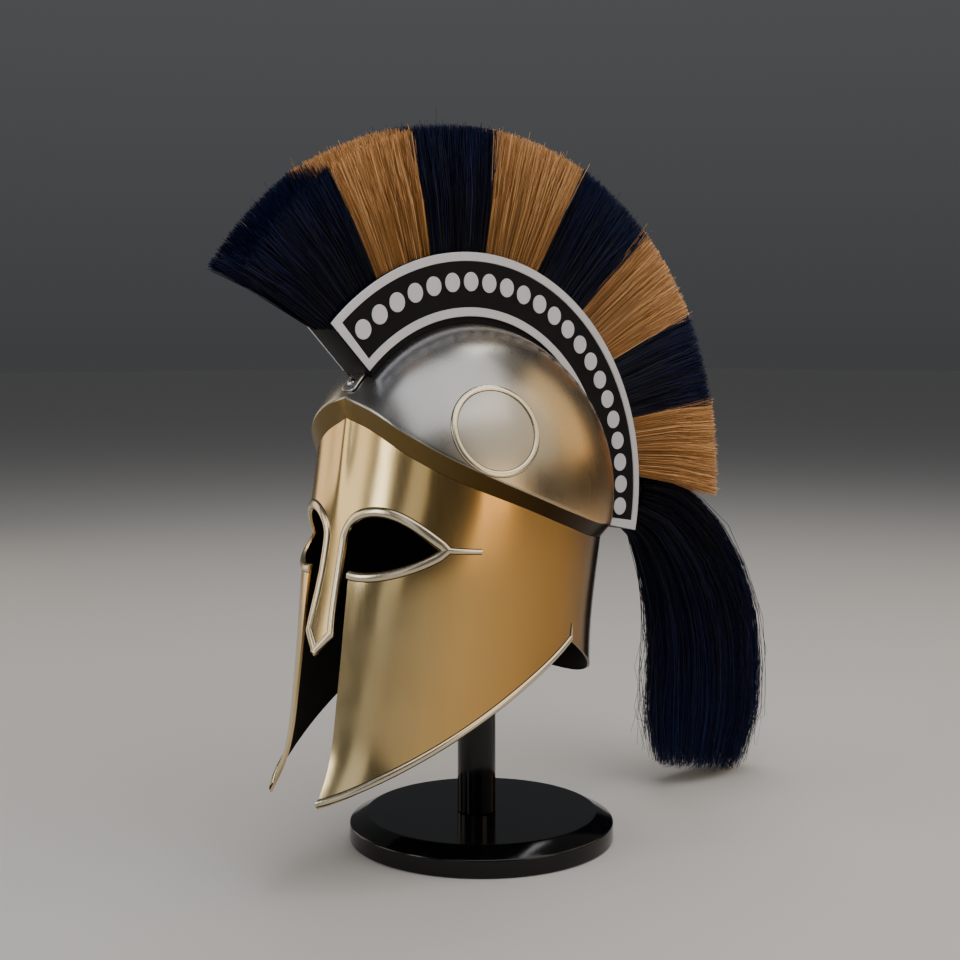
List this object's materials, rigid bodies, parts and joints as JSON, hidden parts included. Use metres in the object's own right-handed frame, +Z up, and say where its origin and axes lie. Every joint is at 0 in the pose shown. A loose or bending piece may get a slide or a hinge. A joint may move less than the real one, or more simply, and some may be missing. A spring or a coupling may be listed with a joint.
{
  "type": "crested helmet on a display stand",
  "caption": "Full-face helmet with eye openings, nasal bar, long cheeks, a crest box with dotted side plates, a striped plume with a hanging tail, on a round stand.",
  "frame": {"origin": "centre of the underside of the stand's foot, on the surface that it stands on", "axes": "+Z up, -Y the way the helmet looks, +X the wearer's left side"},
  "size_m": [0.2, 0.5377, 0.5284],
  "materials": {
    "polished_brass": "polished",
    "pale_brass": "polished",
    "silver_plate": "polished",
    "black_enamel": "satin",
    "navy_hair": "matte",
    "tan_hair": "matte",
    "black_lacquer": "gloss"
  },
  "bodies": {
    "root": {"stand_base": "black_lacquer", "stand_post": "black_lacquer", "stand_pad": "black_lacquer", "skull": "polished_brass", "face_guard": "polished_brass", "eye_trim_left": "pale_brass", "eye_trim_right": "pale_brass", "cheek_trim_left": "pale_brass", "cheek_trim_right": "pale_brass", "side_ring_left": "pale_brass", "side_ring_right": "pale_brass", "crest_box": "black_enamel", "crest_plate_left": "silver_plate", "crest_plate_right": "silver_plate", "front_bracket": "silver_plate", "front_rivet": "silver_plate", "plume_band_1": "navy_hair", "plume_band_2": "tan_hair", "plume_band_3": "navy_hair", "plume_band_4": "tan_hair", "plume_band_5": "navy_hair", "plume_band_6": "tan_hair", "plume_band_7": "navy_hair", "plume_band_8": "tan_hair", "plume_tail": "navy_hair"}
  },
  "joints": []
}
